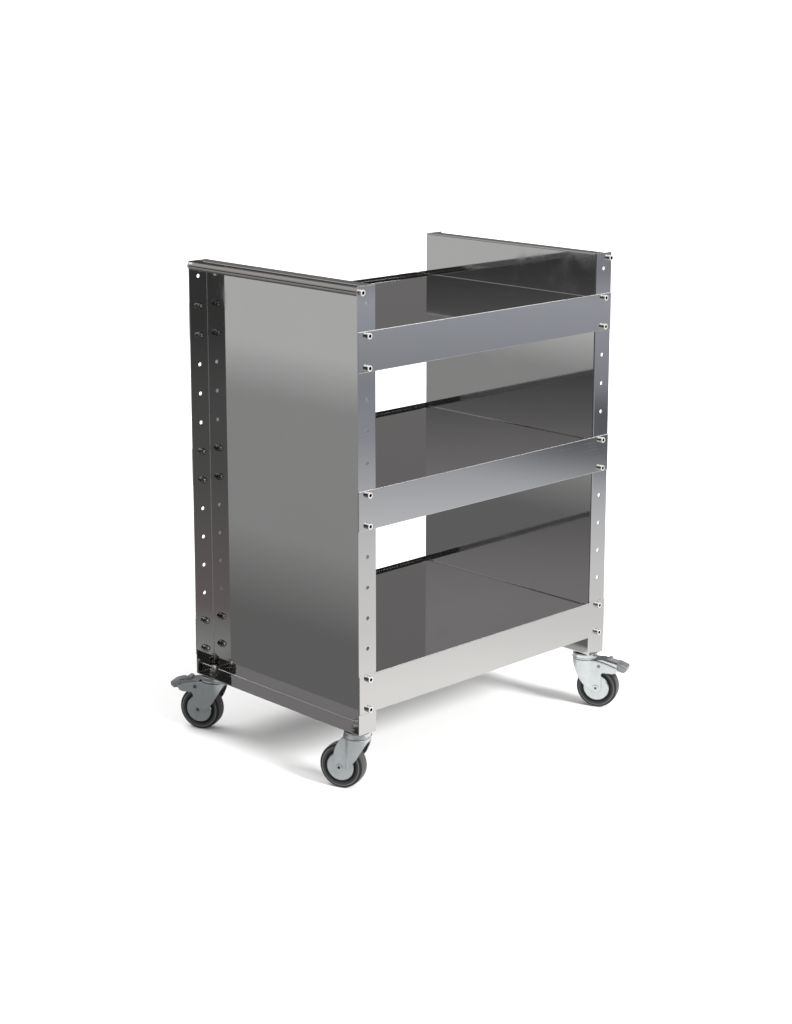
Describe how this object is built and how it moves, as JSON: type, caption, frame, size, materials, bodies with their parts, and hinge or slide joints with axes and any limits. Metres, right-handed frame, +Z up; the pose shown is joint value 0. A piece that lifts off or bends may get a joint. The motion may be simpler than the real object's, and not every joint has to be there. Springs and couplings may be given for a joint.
{
  "type": "bar cart",
  "caption": "Polished steel bar cart: recessed side panels with perforated flanges, shelves with front and rear aprons, side handle bars, swivel casters with brakes.",
  "frame": {"origin": "on the floor, under the middle of the cart's footprint", "axes": "+X to the right along the front aprons, +Y to the rear, +Z up"},
  "size_m": [0.6452, 0.517, 0.818],
  "materials": {
    "polished_stainless": "mirror polished stainless sheet",
    "polished_bar": "fine brushed and polished stainless bar",
    "stainless_fastener": "machined stainless fasteners",
    "zinc_plate": "bright blue-passivated zinc plating on pressed steel",
    "zinc_fastener": "zinc plated, slightly dull",
    "bearing_steel": "polished ball bearing steel",
    "black_nylon": "moulded black nylon",
    "tyre_rubber": "dark grey rubber, lightly scuffed",
    "grey_tread": "ribbed dark grey moulding"
  },
  "bodies": {
    "cart": {"apron_nuts": "stainless_fastener", "apron_screws": "stainless_fastener", "apron_washers": "stainless_fastener", "front_left_lower_race": "zinc_plate", "front_left_upper_race": "zinc_plate", "front_right_lower_race": "zinc_plate", "front_right_upper_race": "zinc_plate", "handle_screws": "stainless_fastener", "left_handle_bar": "polished_bar", "left_side_panel": "polished_stainless", "lower_front_apron": "polished_stainless", "lower_rear_apron": "polished_stainless", "lower_shelf": "polished_stainless", "middle_front_apron": "polished_stainless", "middle_rear_apron": "polished_stainless", "middle_shelf": "polished_stainless", "rear_left_lower_race": "zinc_plate", "rear_left_upper_race": "zinc_plate", "rear_right_lower_race": "zinc_plate", "rear_right_upper_race": "zinc_plate", "right_handle_bar": "polished_bar", "right_side_panel": "polished_stainless", "stem_bolts": "zinc_fastener", "stem_nuts": "zinc_fastener", "stem_washers": "zinc_fastener", "swivel_balls": "bearing_steel", "top_front_apron": "polished_stainless", "top_rear_apron": "polished_stainless", "top_shelf": "polished_stainless"},
    "front_left_swivel": {"front_left_axle": "zinc_fastener", "front_left_fork": "zinc_plate", "front_left_thread_guards": "zinc_plate"},
    "front_left_wheel": {"front_left_tyre": "tyre_rubber", "front_left_wheel_hub": "black_nylon"},
    "front_right_swivel": {"front_right_axle": "zinc_fastener", "front_right_fork": "zinc_plate", "front_right_pedal_pin": "zinc_fastener", "front_right_thread_guards": "zinc_plate"},
    "front_right_wheel": {"front_right_tyre": "tyre_rubber", "front_right_wheel_hub": "black_nylon"},
    "front_right_pedal": {"front_right_brake_shoe": "black_nylon", "front_right_pedal_lever": "zinc_plate", "front_right_pedal_pad": "grey_tread"},
    "rear_left_swivel": {"rear_left_axle": "zinc_fastener", "rear_left_fork": "zinc_plate", "rear_left_pedal_pin": "zinc_fastener", "rear_left_thread_guards": "zinc_plate"},
    "rear_left_wheel": {"rear_left_tyre": "tyre_rubber", "rear_left_wheel_hub": "black_nylon"},
    "rear_left_pedal": {"rear_left_brake_shoe": "black_nylon", "rear_left_pedal_lever": "zinc_plate", "rear_left_pedal_pad": "grey_tread"},
    "rear_right_swivel": {"rear_right_axle": "zinc_fastener", "rear_right_fork": "zinc_plate", "rear_right_thread_guards": "zinc_plate"},
    "rear_right_wheel": {"rear_right_tyre": "tyre_rubber", "rear_right_wheel_hub": "black_nylon"}
  },
  "joints": [
    {"name": "front_left_swivel_turn", "type": "hinge", "parent": "cart", "child": "front_left_swivel", "pos_m": [-0.278, -0.1815, 0.09], "axis": [0, 0, 1], "continuous": true},
    {"name": "front_left_wheel_roll", "type": "hinge", "parent": "front_left_swivel", "child": "front_left_wheel", "pos_m": [-0.28777, -0.15849, 0.0375], "axis": [-0.9205, -0.3907, 0], "continuous": true},
    {"name": "front_right_swivel_turn", "type": "hinge", "parent": "cart", "child": "front_right_swivel", "pos_m": [0.278, -0.1815, 0.09], "axis": [0, 0, 1], "continuous": true},
    {"name": "front_right_wheel_roll", "type": "hinge", "parent": "front_right_swivel", "child": "front_right_wheel", "pos_m": [0.28857, -0.20416, 0.0375], "axis": [0.9063, 0.4226, 0], "continuous": true},
    {"name": "front_right_brake_press", "type": "hinge", "parent": "front_right_swivel", "child": "front_right_pedal", "pos_m": [0.29068, -0.20869, 0.0785], "axis": [0.9063, 0.4226, 0], "range_deg": [0, 7]},
    {"name": "rear_left_swivel_turn", "type": "hinge", "parent": "cart", "child": "rear_left_swivel", "pos_m": [-0.278, 0.1815, 0.09], "axis": [0, 0, 1], "continuous": true},
    {"name": "rear_left_wheel_roll", "type": "hinge", "parent": "rear_left_swivel", "child": "rear_left_wheel", "pos_m": [-0.28857, 0.20416, 0.0375], "axis": [-0.9063, -0.4226, 0], "continuous": true},
    {"name": "rear_left_brake_press", "type": "hinge", "parent": "rear_left_swivel", "child": "rear_left_pedal", "pos_m": [-0.29068, 0.20869, 0.0785], "axis": [-0.9063, -0.4226, 0], "range_deg": [0, 7]},
    {"name": "rear_right_swivel_turn", "type": "hinge", "parent": "cart", "child": "rear_right_swivel", "pos_m": [0.278, 0.1815, 0.09], "axis": [0, 0, 1], "continuous": true},
    {"name": "rear_right_wheel_roll", "type": "hinge", "parent": "rear_right_swivel", "child": "rear_right_wheel", "pos_m": [0.28777, 0.15849, 0.0375], "axis": [0.9205, 0.3907, 0], "continuous": true}
  ]
}
